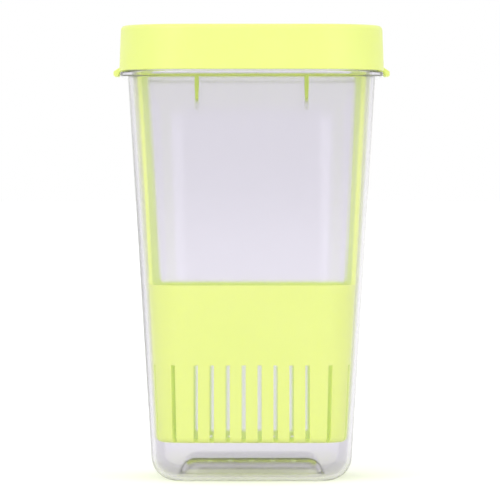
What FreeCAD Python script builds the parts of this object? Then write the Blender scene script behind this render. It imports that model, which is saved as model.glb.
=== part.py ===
import FreeCAD, Part

import math
import os

import Sketcher

# Herb keeper: a clear tapered container, a slotted basket that hangs in its neck by a rim,
# and a deep square lid with a soft seal inside it.
# Millimetres, +Z up, front towards -Y, origin on the standing plane under the middle.

# Driving sizes, in millimetres and degrees
SIZES = {
    # container: walls, foot and floor
    "foot_width": 97.2,
    "foot_corner_radius": 18.0,
    "wall_draft": 3.5,
    "wall_thickness": 2.0,
    "foot_round": 12.0,
    "inner_foot_chamfer": 7.0,
    "standing_ring_width": 2.6,
    "valley_thickness": 2.0,
    "recess_corner_radius": 8.0,
    "recess_depth": 9.0,
    "recess_draft": 5.0,
    "floor_thickness": 2.0,
    # container: ledge, neck and the ribs under the ledge
    "shoulder_level": 198.5,
    "ledge_thickness": 2.5,
    "ledge_inset": 0.3,
    "neck_height": 17.0,
    "neck_wall": 3.5,
    "rebate_width": 1.6,
    "rib_spacing": 53.2,
    "rib_width": 2.2,
    "rib_length": 17.0,
    "rib_setback": 0.7,
    # basket
    "basket_foot_gap": 8.2,
    "basket_draft": 3.05,
    "basket_wall": 2.0,
    "basket_floor": 1.8,
    "basket_clearance": 1.0,
    "basket_foot_chamfer": 2.4,
    "basket_inner_chamfer": 1.4,
    "rim_thickness": 2.0,
    "rim_clearance": 0.3,
    "rim_band_height": 14.0,
    "cup_height": 77.2,
    "arm_width": 60.0,
    "window_corner_radius": 8.0,
    "slot_width": 2.1,
    "slot_height": 38.1,
    "slot_pitch": 7.8,
    "slot_count": 8,
    "slot_reach": 4.0,
    "corner_slot_angle": 25.0,
    "drain_width": 2.6,
    "drain_length": 46.0,
    "drain_pitch": 10.4,
    "drain_count": 5,
    # lid and its seal
    "lid_wall": 2.2,
    "lid_top_thickness": 2.2,
    "lid_draft": 2.0,
    "lid_clearance": 0.4,
    "lid_edge_chamfer": 1.3,
    "skirt_gap": 0.5,
    "tab_width": 28.0,
    "tab_reach": 3.5,
    "tab_drop": 2.1,
    "tab_thickness": 2.2,
    "tab_rise": 3.0,
    "tab_corner_radius": 2.5,
    "seal_height": 3.0,
    "seal_width": 3.3,
    "seal_clearance": 0.2,
    "keeper_width": 1.4,
    "keeper_height": 2.2,
    # gap that a lifted-off piece keeps from what it rests on
    "seat_gap": 0.3,
}

# Formulas worked out from the driving sizes
LEDGE_TOP = "(Sizes.shoulder_level + Sizes.ledge_thickness)"
NECK_TOP = f"({LEDGE_TOP} + Sizes.neck_height)"
SHOULDER_WIDTH = "(Sizes.foot_width + 2 * Sizes.shoulder_level * tan(Sizes.wall_draft))"
WALL_FLARE = f"({LEDGE_TOP} * tan(Sizes.wall_draft) - Sizes.wall_thickness)"
NECK_INNER_WIDTH = f"(Sizes.foot_width + 2 * {WALL_FLARE})"
NECK_INNER_RADIUS = f"(Sizes.foot_corner_radius + {WALL_FLARE})"
NECK_OUTER_WIDTH = f"({NECK_INNER_WIDTH} + 2 * Sizes.neck_wall)"
NECK_OUTER_RADIUS = f"({NECK_INNER_RADIUS} + Sizes.neck_wall)"
REBATE_WIDTH = f"({NECK_INNER_WIDTH} + 2 * Sizes.rebate_width)"
REBATE_RADIUS = f"({NECK_INNER_RADIUS} + Sizes.rebate_width)"
VALLEY_FLARE = "(Sizes.valley_thickness * tan(Sizes.wall_draft) - Sizes.wall_thickness)"
VALLEY_WIDTH = f"(Sizes.foot_width + 2 * {VALLEY_FLARE})"
VALLEY_RADIUS = f"(Sizes.foot_corner_radius + {VALLEY_FLARE})"
RECESS_WIDTH = "(Sizes.foot_width - 2 * Sizes.foot_round - 2 * Sizes.standing_ring_width)"
FLOOR_TOP = "(Sizes.recess_depth + Sizes.floor_thickness)"

SKIRT_LEVEL = f"({LEDGE_TOP} + Sizes.skirt_gap)"
LID_INNER_WIDTH = f"({NECK_OUTER_WIDTH} + 2 * Sizes.lid_clearance)"
LID_INNER_RADIUS = f"({NECK_OUTER_RADIUS} + Sizes.lid_clearance)"
LID_WIDTH = f"({LID_INNER_WIDTH} + 2 * Sizes.lid_wall)"
LID_RADIUS = f"({LID_INNER_RADIUS} + Sizes.lid_wall)"
LID_CEILING = f"({NECK_TOP} + Sizes.seat_gap + Sizes.seal_height)"
LID_TOP = f"({LID_CEILING} + Sizes.lid_top_thickness)"
LEDGE_WIDTH = f"({LID_WIDTH} - 2 * Sizes.ledge_inset)"
LEDGE_RADIUS = f"({LID_RADIUS} - Sizes.ledge_inset)"

BASKET_FOOT = f"({FLOOR_TOP} + Sizes.basket_foot_gap)"
BASKET_HEIGHT = f"({NECK_TOP} - {BASKET_FOOT})"
BASKET_FOOT_FLARE = (
    f"({BASKET_FOOT} * tan(Sizes.wall_draft) - Sizes.wall_thickness - Sizes.basket_clearance)"
)
BASKET_FOOT_WIDTH = f"(Sizes.foot_width + 2 * {BASKET_FOOT_FLARE})"
BASKET_FOOT_RADIUS = f"(Sizes.foot_corner_radius + {BASKET_FOOT_FLARE})"
BASKET_FLOOR_FLARE = "(Sizes.basket_floor * tan(Sizes.basket_draft) - Sizes.basket_wall)"
BASKET_FLOOR_WIDTH = f"({BASKET_FOOT_WIDTH} + 2 * {BASKET_FLOOR_FLARE})"
BASKET_FLOOR_RADIUS = f"({BASKET_FOOT_RADIUS} + {BASKET_FLOOR_FLARE})"
RIM_UNDERSIDE = f"({NECK_TOP} - Sizes.rim_thickness)"
RIM_WIDTH = f"({REBATE_WIDTH} - 2 * Sizes.rim_clearance)"
RIM_RADIUS = f"({REBATE_RADIUS} - Sizes.rim_clearance)"

SEAL_WIDTH = f"({LID_INNER_WIDTH} - 2 * Sizes.seal_clearance)"
SEAL_RADIUS = f"({LID_INNER_RADIUS} - Sizes.seal_clearance)"
KEEPER_WIDTH = f"({SEAL_WIDTH} - 2 * Sizes.seal_width - 2 * Sizes.seal_clearance)"
KEEPER_RADIUS = f"({SEAL_RADIUS} - Sizes.seal_width - Sizes.seal_clearance)"

NEAR = 0.01

doc = FreeCAD.newDocument("herb_keeper")
sheet = doc.addObject("Spreadsheet::Sheet", "Sizes")
for row, (name, size) in enumerate(SIZES.items(), start=1):
    sheet.set(f"A{row}", name)
    sheet.set(f"B{row}", str(size))
    sheet.setAlias(f"B{row}", name)
doc.recompute()


def number(formula):
    """What a formula comes to with the sizes on the sheet."""
    result = sheet.evalExpression(formula)
    return getattr(result, "Value", result)


def new_body(label):
    body = doc.addObject("PartDesign::Body", label)
    body.Label = label
    return body


def origin_feature(body, role):
    for feature in body.Origin.OriginFeatures:
        if feature.Role == role:
            return feature
    raise ValueError(f"{body.Label} has no {role}")


def new_sketch(body, name, role="XY_Plane", level=None):
    """A sketch on one of the body's own planes, moved along that plane's normal to a level."""
    sketch = body.newObject("Sketcher::SketchObject", name)
    sketch.AttachmentSupport = (origin_feature(body, role), [""])
    sketch.MapMode = "FlatFace"
    if level:
        sketch.setExpression("AttachmentOffset.Base.z", level)
    doc.recompute()
    return sketch


def drive(sketch, name, constraint, formula):
    """Adds a constraint whose value follows a formula."""
    index = sketch.addConstraint(constraint)
    sketch.renameConstraint(index, name)
    sketch.setExpression(f"Constraints.{name}", formula)


def rounded_square(sketch, width, radius, prefix="square"):
    """Draws a square with rounded corners about the sketch's origin."""
    half = number(width) / 2
    corner = number(radius)
    flat = half - corner
    lines = []
    arcs = []
    for quarter in range(4):
        turn = FreeCAD.Rotation(FreeCAD.Vector(0, 0, 1), 90 * quarter)
        start = turn.multVec(FreeCAD.Vector(-flat, -half, 0))
        end = turn.multVec(FreeCAD.Vector(flat, -half, 0))
        centre = turn.multVec(FreeCAD.Vector(flat, -flat, 0))
        circle = Part.Circle(centre, FreeCAD.Vector(0, 0, 1), corner)
        first_angle = math.radians(90 * quarter - 90)
        lines.append(sketch.addGeometry(Part.LineSegment(start, end)))
        arcs.append(
            sketch.addGeometry(Part.ArcOfCircle(circle, first_angle, first_angle + math.pi / 2))
        )
    for quarter in range(4):
        following = lines[(quarter + 1) % 4]
        sketch.addConstraint(Sketcher.Constraint("Tangent", lines[quarter], 2, arcs[quarter], 1))
        sketch.addConstraint(Sketcher.Constraint("Tangent", arcs[quarter], 2, following, 1))
    for line in lines[0::2]:
        sketch.addConstraint(Sketcher.Constraint("Horizontal", line))
    for line in lines[1::2]:
        sketch.addConstraint(Sketcher.Constraint("Vertical", line))
    for arc in arcs[1:]:
        sketch.addConstraint(Sketcher.Constraint("Equal", arcs[0], arc))
    sketch.addConstraint(Sketcher.Constraint("Symmetric", arcs[0], 3, arcs[2], 3, -1, 1))
    drive(
        sketch,
        f"{prefix}_width",
        Sketcher.Constraint("DistanceX", lines[3], 1, lines[1], 1, 2 * half),
        width,
    )
    drive(
        sketch,
        f"{prefix}_depth",
        Sketcher.Constraint("DistanceY", lines[0], 1, lines[2], 1, 2 * half),
        width,
    )
    drive(sketch, f"{prefix}_radius", Sketcher.Constraint("Radius", arcs[0], corner), radius)


def square_section(body, name, level, width, radius):
    sketch = new_sketch(body, name, level=level)
    rounded_square(sketch, width, radius)
    doc.recompute()
    return sketch


def polygon(sketch, points):
    """Draws a closed outline through points whose two coordinates are formulas."""
    spots = [FreeCAD.Vector(number(across), number(up), 0) for across, up in points]
    lines = []
    for spot, following in zip(spots, spots[1:] + spots[:1]):
        lines.append(sketch.addGeometry(Part.LineSegment(spot, following)))
    for line, following in zip(lines, lines[1:] + lines[:1]):
        sketch.addConstraint(Sketcher.Constraint("Coincident", line, 2, following, 1))
    for line, (across, up), spot in zip(lines, points, spots):
        drive(
            sketch,
            f"across_{line}",
            Sketcher.Constraint("DistanceX", -1, 1, line, 1, spot.x),
            across,
        )
        drive(
            sketch,
            f"up_{line}",
            Sketcher.Constraint("DistanceY", -1, 1, line, 1, spot.y),
            up,
        )
    doc.recompute()


def add_feature(body, kind, name, **properties):
    """Adds a feature, binds the properties given as formulas and checks that it came out."""
    feature = body.newObject(f"PartDesign::{kind}", name)
    for key, value in properties.items():
        if isinstance(value, str) and key not in ("Type", "Mode"):
            feature.setExpression(key, value)
        else:
            setattr(feature, key, value)
    body.Tip = feature
    doc.recompute()
    if not feature.isValid() or feature.Shape.isNull():
        raise RuntimeError(f"{body.Label}: {name} failed: {feature.getStatusString()}")
    return feature


def edge_names(body, chosen):
    """Names of the tip's edges for which chosen(points along the edge) holds."""
    names = []
    for index, edge in enumerate(body.Tip.Shape.Edges, start=1):
        span = edge.LastParameter - edge.FirstParameter
        points = [edge.valueAt(edge.FirstParameter + span * part / 4) for part in range(5)]
        if chosen(points):
            names.append(f"Edge{index}")
    if not names:
        raise RuntimeError(f"{body.Label} has no such edge")
    return names


def level_loop(level, width):
    """Chooses the edges of the level square loop that is this wide."""

    def chosen(points):
        reach = max(max(abs(point.x), abs(point.y)) for point in points)
        on_level = all(abs(point.z - number(level)) < NEAR for point in points)
        return on_level and abs(reach - number(width) / 2) < NEAR

    return chosen


def round_edges(body, name, chosen, radius):
    edges = (body.Tip, edge_names(body, chosen))
    return add_feature(body, "Fillet", name, Base=edges, Radius=radius)


def bevel_edges(body, name, chosen, size):
    edges = (body.Tip, edge_names(body, chosen))
    return add_feature(body, "Chamfer", name, Base=edges, Size=size)


def cut_feature(body, kind, name, **properties):
    """Adds a feature that has to take material away."""
    before = body.Tip.Shape.Volume
    feature = add_feature(body, kind, name, **properties)
    if feature.Shape.Volume >= before - NEAR:
        raise RuntimeError(f"{body.Label}: {name} cuts nothing")
    return feature


def repeat(body, name, original, steps):
    """Repeats a feature by several patterns, one after another."""
    transform = body.newObject("PartDesign::MultiTransform", name)
    transform.Originals = [original]
    patterns = []
    for kind, step_name, properties in steps:
        pattern = body.newObject(f"PartDesign::{kind}", step_name)
        for key, value in properties.items():
            if isinstance(value, str):
                pattern.setExpression(key, value)
            else:
                setattr(pattern, key, value)
        patterns.append(pattern)
    transform.Transformations = patterns
    body.Tip = transform
    doc.recompute()
    return transform


def make_container():
    body = new_body("container")

    foot = square_section(body, "foot_section", "0", "Sizes.foot_width", "Sizes.foot_corner_radius")
    add_feature(
        body,
        "Pad",
        "outer_walls",
        Profile=foot,
        Length="Sizes.shoulder_level",
        TaperAngle="Sizes.wall_draft",
    )
    ledge = square_section(body, "ledge_section", "Sizes.shoulder_level", LEDGE_WIDTH, LEDGE_RADIUS)
    add_feature(body, "Pad", "ledge", Profile=ledge, Length="Sizes.ledge_thickness")
    neck = square_section(body, "neck_section", LEDGE_TOP, NECK_OUTER_WIDTH, NECK_OUTER_RADIUS)
    add_feature(body, "Pad", "neck", Profile=neck, Length="Sizes.neck_height")

    add_ribs(body)

    valley = square_section(
        body, "valley_section", "Sizes.valley_thickness", VALLEY_WIDTH, VALLEY_RADIUS
    )
    cut_feature(
        body,
        "Pocket",
        "inside",
        Profile=valley,
        Length=f"{LEDGE_TOP} - Sizes.valley_thickness",
        TaperAngle="Sizes.wall_draft",
        Reversed=True,
    )
    bevel_edges(
        body,
        "inner_foot_bevel",
        level_loop("Sizes.valley_thickness", VALLEY_WIDTH),
        "Sizes.inner_foot_chamfer",
    )
    bore = square_section(body, "bore_section", NECK_TOP, NECK_INNER_WIDTH, NECK_INNER_RADIUS)
    cut_feature(body, "Pocket", "neck_bore", Profile=bore, Length="Sizes.neck_height")
    rebate = square_section(body, "rebate_section", NECK_TOP, REBATE_WIDTH, REBATE_RADIUS)
    cut_feature(
        body,
        "Pocket",
        "rim_rebate",
        Profile=rebate,
        Length="Sizes.rim_thickness + Sizes.seat_gap",
    )

    raise_floor(body)
    round_edges(body, "foot_rounding", level_loop("0", "Sizes.foot_width"), "Sizes.foot_round")
    return body


def add_ribs(body):
    """Upright ribs that brace the ledge on the front and back walls."""
    half_shoulder = f"({SHOULDER_WIDTH} / 2)"
    foot_of_rib = "(Sizes.shoulder_level - Sizes.rib_length)"
    wall_there = f"(Sizes.foot_width / 2 + {foot_of_rib} * tan(Sizes.wall_draft))"
    inside_wall = "(Sizes.wall_thickness / 2)"
    profile = new_sketch(
        body, "rib_profile", "YZ_Plane", "(Sizes.rib_spacing - Sizes.rib_width) / 2"
    )
    polygon(
        profile,
        [
            (f"-({wall_there} - {inside_wall})", foot_of_rib),
            (f"-{wall_there}", foot_of_rib),
            (f"-({LEDGE_WIDTH} / 2 - Sizes.rib_setback)", "Sizes.shoulder_level"),
            (f"-({LEDGE_WIDTH} / 2 - Sizes.rib_setback)", f"({LEDGE_TOP} - {inside_wall})"),
            (f"-({half_shoulder} - {inside_wall})", f"({LEDGE_TOP} - {inside_wall})"),
        ],
    )
    rib = add_feature(body, "Pad", "rib", Profile=profile, Length="Sizes.rib_width")
    repeat(
        body,
        "ribs",
        rib,
        [
            ("Mirrored", "ribs_left", {"MirrorPlane": (origin_feature(body, "YZ_Plane"), [""])}),
            ("Mirrored", "ribs_back", {"MirrorPlane": (origin_feature(body, "XZ_Plane"), [""])}),
        ],
    )


def raise_floor(body):
    """Lifts the middle of the floor, hollow underneath, so that the foot stands on a ring."""
    plateau_width = f"({RECESS_WIDTH} + 2 * Sizes.floor_thickness)"
    plateau_radius = "(Sizes.recess_corner_radius + Sizes.floor_thickness)"
    plateau = square_section(
        body, "plateau_section", "Sizes.valley_thickness", plateau_width, plateau_radius
    )
    add_feature(
        body,
        "Pad",
        "plateau",
        Profile=plateau,
        Length=f"{FLOOR_TOP} - Sizes.valley_thickness",
        TaperAngle="-Sizes.recess_draft",
    )
    recess = square_section(body, "recess_section", "0", RECESS_WIDTH, "Sizes.recess_corner_radius")
    cut_feature(
        body,
        "Pocket",
        "recess",
        Profile=recess,
        Length="Sizes.recess_depth",
        TaperAngle="-Sizes.recess_draft",
        Reversed=True,
    )


def make_basket():
    body = new_body("basket")

    foot = square_section(
        body, "foot_section", BASKET_FOOT, BASKET_FOOT_WIDTH, BASKET_FOOT_RADIUS
    )
    add_feature(
        body,
        "Pad",
        "outer_walls",
        Profile=foot,
        Length=f"{BASKET_HEIGHT} - Sizes.rim_thickness",
        TaperAngle="Sizes.basket_draft",
    )
    rim = square_section(body, "rim_section", RIM_UNDERSIDE, RIM_WIDTH, RIM_RADIUS)
    add_feature(body, "Pad", "rim", Profile=rim, Length="Sizes.rim_thickness")

    floor_level = f"({BASKET_FOOT} + Sizes.basket_floor)"
    floor = square_section(
        body, "floor_section", floor_level, BASKET_FLOOR_WIDTH, BASKET_FLOOR_RADIUS
    )
    cut_feature(
        body,
        "Pocket",
        "inside",
        Profile=floor,
        Length=f"{BASKET_HEIGHT} - Sizes.basket_floor",
        TaperAngle="Sizes.basket_draft",
        Reversed=True,
    )
    bevel_edges(
        body,
        "inner_foot_bevel",
        level_loop(floor_level, BASKET_FLOOR_WIDTH),
        "Sizes.basket_inner_chamfer",
    )
    bevel_edges(
        body,
        "foot_bevel",
        level_loop(BASKET_FOOT, BASKET_FOOT_WIDTH),
        "Sizes.basket_foot_chamfer",
    )

    cut_windows(body)
    cut_slots(body)
    cut_drains(body)
    return body


def cut_windows(body):
    """Opens the front and the back, and leaves a broad arm up each side to the rim band."""
    side = new_sketch(body, "window_outline", "YZ_Plane")
    sill = f"({BASKET_FOOT} + Sizes.cup_height)"
    head = f"({RIM_UNDERSIDE} - Sizes.rim_band_height)"
    outside = f"({RIM_WIDTH} / 2 + Sizes.basket_wall)"
    for prefix, way in (("front", -1), ("back", 1)):
        window_outline(side, prefix, way, sill, head, outside)
    doc.recompute()
    cut_feature(body, "Pocket", "windows", Profile=side, Length=f"2 * {outside}", Midplane=True)


def window_outline(sketch, prefix, way, sill, head, outside):
    """Half of the side view that is cut away: its corners beside the arm are rounded."""
    radius = number("Sizes.window_corner_radius")
    arm = number("Sizes.arm_width / 2")
    low = number(sill)
    high = number(head)
    far = number(outside)
    vector = FreeCAD.Vector
    up = vector(0, 0, 1)
    spots = {
        "sill_far": vector(way * far, low, 0),
        "sill_near": vector(way * (arm + radius), low, 0),
        "arm_low": vector(way * arm, low + radius, 0),
        "arm_high": vector(way * arm, high - radius, 0),
        "head_near": vector(way * (arm + radius), high, 0),
        "head_far": vector(way * far, high, 0),
    }
    low_circle = Part.Circle(vector(way * (arm + radius), low + radius, 0), up, radius)
    high_circle = Part.Circle(vector(way * (arm + radius), high - radius, 0), up, radius)
    quarter = math.pi / 2
    low_start = 2 * quarter if way > 0 else 3 * quarter
    high_start = quarter if way > 0 else 0
    sill_line = sketch.addGeometry(Part.LineSegment(spots["sill_far"], spots["sill_near"]))
    low_arc = sketch.addGeometry(Part.ArcOfCircle(low_circle, low_start, low_start + quarter))
    arm_line = sketch.addGeometry(Part.LineSegment(spots["arm_low"], spots["arm_high"]))
    high_arc = sketch.addGeometry(Part.ArcOfCircle(high_circle, high_start, high_start + quarter))
    head_line = sketch.addGeometry(Part.LineSegment(spots["head_near"], spots["head_far"]))
    far_line = sketch.addGeometry(Part.LineSegment(spots["head_far"], spots["sill_far"]))
    # an arc runs anticlockwise, so which of its ends meets the sill depends on the side
    sill_end, arm_end = (2, 1) if way > 0 else (1, 2)
    head_end, upper_arm_end = (1, 2) if way > 0 else (2, 1)
    for first, first_end, second, second_end in (
        (sill_line, 2, low_arc, sill_end),
        (low_arc, arm_end, arm_line, 1),
        (arm_line, 2, high_arc, upper_arm_end),
        (high_arc, head_end, head_line, 1),
    ):
        sketch.addConstraint(
            Sketcher.Constraint("Tangent", first, first_end, second, second_end)
        )
    sketch.addConstraint(Sketcher.Constraint("Coincident", head_line, 2, far_line, 1))
    sketch.addConstraint(Sketcher.Constraint("Coincident", far_line, 2, sill_line, 1))
    sketch.addConstraint(Sketcher.Constraint("Horizontal", sill_line))
    sketch.addConstraint(Sketcher.Constraint("Horizontal", head_line))
    sketch.addConstraint(Sketcher.Constraint("Vertical", arm_line))
    sketch.addConstraint(Sketcher.Constraint("Vertical", far_line))
    sketch.addConstraint(Sketcher.Constraint("Equal", low_arc, high_arc))
    drive(
        sketch,
        f"{prefix}_radius",
        Sketcher.Constraint("Radius", low_arc, radius),
        "Sizes.window_corner_radius",
    )
    drive(
        sketch,
        f"{prefix}_sill",
        Sketcher.Constraint("DistanceY", -1, 1, sill_line, 1, low),
        sill,
    )
    drive(
        sketch,
        f"{prefix}_head",
        Sketcher.Constraint("DistanceY", -1, 1, head_line, 2, high),
        head,
    )
    drive(
        sketch,
        f"{prefix}_arm",
        Sketcher.Constraint("DistanceX", -1, 1, arm_line, 1, way * arm),
        f"{way} * Sizes.arm_width / 2",
    )
    drive(
        sketch,
        f"{prefix}_far",
        Sketcher.Constraint("DistanceX", -1, 1, far_line, 1, way * far),
        f"{way} * {outside}",
    )


def cut_slots(body):
    """Upright slots round the foot of the cup, open at the bottom and a little into the floor."""
    below = f"({BASKET_FOOT} - Sizes.basket_floor)"
    cut_length = "Sizes.slot_height + Sizes.basket_floor"
    face = f"({BASKET_FOOT_WIDTH} / 2)"
    beyond = "(Sizes.slot_height * tan(Sizes.basket_draft) + Sizes.basket_wall)"
    first_slot = "((Sizes.slot_count - 1) * Sizes.slot_pitch / 2)"
    half_slot = "(Sizes.slot_width / 2)"

    straight = new_sketch(body, "slot_outline", level=below)
    polygon(
        straight,
        [
            (f"-({first_slot} + {half_slot})", f"-({face} + {beyond})"),
            (f"-({first_slot} - {half_slot})", f"-({face} + {beyond})"),
            (f"-({first_slot} - {half_slot})", f"-({face} - Sizes.slot_reach)"),
            (f"-({first_slot} + {half_slot})", f"-({face} - Sizes.slot_reach)"),
        ],
    )
    slot = cut_feature(
        body, "Pocket", "slot", Profile=straight, Length=cut_length, Reversed=True
    )
    repeat(
        body,
        "slots",
        slot,
        [
            (
                "LinearPattern",
                "slot_row",
                {
                    "Direction": (origin_feature(body, "X_Axis"), [""]),
                    "Occurrences": "Sizes.slot_count",
                    "Length": "(Sizes.slot_count - 1) * Sizes.slot_pitch",
                },
            ),
            (
                "PolarPattern",
                "slot_sides",
                {
                    "Axis": (origin_feature(body, "Z_Axis"), [""]),
                    "Angle": 360,
                    "Occurrences": 4,
                },
            ),
        ],
    )

    corner = f"({face} - {BASKET_FOOT_RADIUS})"
    inner = f"({BASKET_FOOT_RADIUS} - Sizes.slot_reach)"
    outer = f"({BASKET_FOOT_RADIUS} + {beyond})"
    lean = "Sizes.corner_slot_angle"
    slanted = new_sketch(body, "corner_slot_outline", level=below)
    polygon(
        slanted,
        [
            (
                f"({corner} + {reach} * sin({lean}) + {side} * {half_slot} * cos({lean}))",
                f"-({corner} + {reach} * cos({lean}) - {side} * {half_slot} * sin({lean}))",
            )
            for reach, side in ((inner, -1), (inner, 1), (outer, 1), (outer, -1))
        ],
    )
    corner_slot = cut_feature(
        body, "Pocket", "corner_slot", Profile=slanted, Length=cut_length, Reversed=True
    )
    repeat(
        body,
        "corner_slots",
        corner_slot,
        [
            (
                "Mirrored",
                "corner_slots_left",
                {"MirrorPlane": (origin_feature(body, "YZ_Plane"), [""])},
            ),
            (
                "PolarPattern",
                "corner_slot_sides",
                {
                    "Axis": (origin_feature(body, "Z_Axis"), [""]),
                    "Angle": 360,
                    "Occurrences": 4,
                },
            ),
        ],
    )


def cut_drains(body):
    """A row of long slots through the floor."""
    first_drain = "((Sizes.drain_count - 1) * Sizes.drain_pitch / 2)"
    half_width = "(Sizes.drain_width / 2)"
    half_length = "(Sizes.drain_length / 2)"
    outline = new_sketch(body, "drain_outline", level=f"({BASKET_FOOT} - Sizes.basket_floor)")
    polygon(
        outline,
        [
            (f"-({first_drain} + {half_width})", f"-{half_length}"),
            (f"-({first_drain} - {half_width})", f"-{half_length}"),
            (f"-({first_drain} - {half_width})", half_length),
            (f"-({first_drain} + {half_width})", half_length),
        ],
    )
    drain = cut_feature(
        body, "Pocket", "drain", Profile=outline, Length="3 * Sizes.basket_floor", Reversed=True
    )
    repeat(
        body,
        "drains",
        drain,
        [
            (
                "LinearPattern",
                "drain_row",
                {
                    "Direction": (origin_feature(body, "X_Axis"), [""]),
                    "Occurrences": "Sizes.drain_count",
                    "Length": "(Sizes.drain_count - 1) * Sizes.drain_pitch",
                },
            ),
        ],
    )


def make_lid():
    body = new_body("lid")

    outline = square_section(body, "skirt_section", SKIRT_LEVEL, LID_WIDTH, LID_RADIUS)
    height = f"{LID_TOP} - {SKIRT_LEVEL}"
    add_feature(
        body, "Pad", "cap", Profile=outline, Length=height, TaperAngle="-Sizes.lid_draft"
    )
    top_width = f"({LID_WIDTH} - 2 * ({height}) * tan(Sizes.lid_draft))"
    bevel_edges(body, "top_bevel", level_loop(LID_TOP, top_width), "Sizes.lid_edge_chamfer")

    hollow = square_section(body, "hollow_section", SKIRT_LEVEL, LID_INNER_WIDTH, LID_INNER_RADIUS)
    cut_feature(
        body,
        "Pocket",
        "hollow",
        Profile=hollow,
        Length=f"{LID_CEILING} - {SKIRT_LEVEL}",
        Reversed=True,
    )

    keeper = new_sketch(body, "keeper_section", level=f"{LID_CEILING} - Sizes.keeper_height")
    rounded_square(keeper, KEEPER_WIDTH, KEEPER_RADIUS, "outer")
    rounded_square(
        keeper,
        f"({KEEPER_WIDTH} - 2 * Sizes.keeper_width)",
        f"({KEEPER_RADIUS} - Sizes.keeper_width)",
        "inner",
    )
    doc.recompute()
    add_feature(body, "Pad", "seal_keeper", Profile=keeper, Length="Sizes.keeper_height")

    add_tabs(body)
    return body


def add_tabs(body):
    """Lift tabs that flare out and down from the skirt, in the middle of each side."""
    side = f"({LID_WIDTH} / 2)"
    tip = f"({side} + Sizes.tab_reach)"
    lowest = f"({SKIRT_LEVEL} - Sizes.tab_drop)"
    root = f"({side} - Sizes.lid_wall / 2)"
    profile = new_sketch(body, "tab_profile", "XZ_Plane")
    polygon(
        profile,
        [
            (root, SKIRT_LEVEL),
            (side, SKIRT_LEVEL),
            (f"({tip} - Sizes.tab_thickness)", lowest),
            (tip, lowest),
            (tip, f"({lowest} + Sizes.tab_thickness)"),
            (root, f"({SKIRT_LEVEL} + Sizes.tab_rise)"),
        ],
    )
    tab = add_feature(body, "Pad", "tab", Profile=profile, Length="Sizes.tab_width", Midplane=True)
    repeat(
        body,
        "tabs",
        tab,
        [("Mirrored", "tab_left", {"MirrorPlane": (origin_feature(body, "YZ_Plane"), [""])})],
    )

    def tab_corner(points):
        at_tip = all(abs(abs(point.x) - number(tip)) < NEAR for point in points)
        at_end = all(abs(abs(point.y) - number("Sizes.tab_width") / 2) < NEAR for point in points)
        return at_tip and at_end

    round_edges(body, "tab_corners", tab_corner, "Sizes.tab_corner_radius")


def make_seal():
    body = new_body("lid_seal")
    underside = f"({NECK_TOP} + Sizes.seat_gap)"
    ring = new_sketch(body, "seal_section", level=underside)
    rounded_square(ring, SEAL_WIDTH, SEAL_RADIUS, "outer")
    rounded_square(
        ring,
        f"({SEAL_WIDTH} - 2 * Sizes.seal_width)",
        f"({SEAL_RADIUS} - Sizes.seal_width)",
        "inner",
    )
    doc.recompute()
    add_feature(body, "Pad", "ring", Profile=ring, Length="Sizes.seal_height")
    return body


def check_and_write(bodies):
    for thing in doc.Objects:
        if "Invalid" in thing.State or "Error" in thing.State:
            raise RuntimeError(f"{thing.Label} is left in state {thing.State}")
    for body in bodies:
        shape = body.Shape
        if shape.isNull() or not shape.isValid() or len(shape.Solids) != 1:
            raise RuntimeError(f"{body.Label} is not one valid solid")
    os.makedirs("parts", exist_ok=True)
    for body in bodies:
        body.Shape.exportStep(os.path.join("parts", f"{body.Label}.step"))
        box = body.Shape.BoundBox
        print(
            f"{body.Label}: {box.XLength:.1f} x {box.YLength:.1f} x {box.ZLength:.1f} mm,"
            f" from z {box.ZMin:.1f}, {body.Shape.Volume / 1000:.1f} cm3"
        )


pieces = [make_container(), make_basket(), make_lid(), make_seal()]
doc.recompute()
check_and_write(pieces)
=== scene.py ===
import math

import bmesh
import bpy
from bpy.props import FloatProperty, FloatVectorProperty, IntProperty, PointerProperty
from mathutils import Matrix, Vector


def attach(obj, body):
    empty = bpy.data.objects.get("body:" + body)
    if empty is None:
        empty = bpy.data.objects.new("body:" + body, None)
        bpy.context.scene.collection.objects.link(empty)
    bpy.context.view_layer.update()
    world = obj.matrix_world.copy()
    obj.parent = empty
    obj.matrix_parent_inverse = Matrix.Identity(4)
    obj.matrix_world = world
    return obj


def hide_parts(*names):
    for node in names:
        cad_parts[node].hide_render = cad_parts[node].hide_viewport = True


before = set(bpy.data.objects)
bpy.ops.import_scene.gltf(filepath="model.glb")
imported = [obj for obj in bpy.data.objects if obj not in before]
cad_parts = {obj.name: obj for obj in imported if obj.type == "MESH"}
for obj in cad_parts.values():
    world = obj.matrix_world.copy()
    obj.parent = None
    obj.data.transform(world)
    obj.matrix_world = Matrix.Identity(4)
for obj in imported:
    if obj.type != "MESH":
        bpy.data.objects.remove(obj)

# Clear square herb keeper: a tapered container, a slotted basket that hangs in its neck,
# a deep lid and the soft seal inside the lid. Metres, +Z up, front towards -Y.

bl_info = {
    "name": "Herb Keeper",
    "version": (1, 0, 0),
    "blender": (4, 5, 0),
    "location": "3D View > Sidebar > Herb Keeper",
    "description": "Models a clear herb keeper with its slotted basket, lid and seal",
    "category": "Add Mesh",
}

MM = 0.001
# faces that meet at more than this keep a crisp edge between them
CRISP_ANGLE = math.radians(35)
# edges sharper than this get a small round where a piece asks for one
ROUNDED_ANGLE = math.radians(50)
# radius along the edges of the brace ribs and of the lift tabs
RIB_EDGE = 0.3 * MM
TAB_EDGE = 0.35 * MM
# points closer together than this are one point
WELD = 0.001 * MM
# painted glow: an even emission on the lime pieces, standing in for the light that thin lime walls
# let through, which a satin surface alone would leave out; it also lifts their shaded faces
LIME_PAINTED_GLOW = 0.07
# the floor runs far past the picture, in metres
FLOOR_HALF = 60.0
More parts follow.
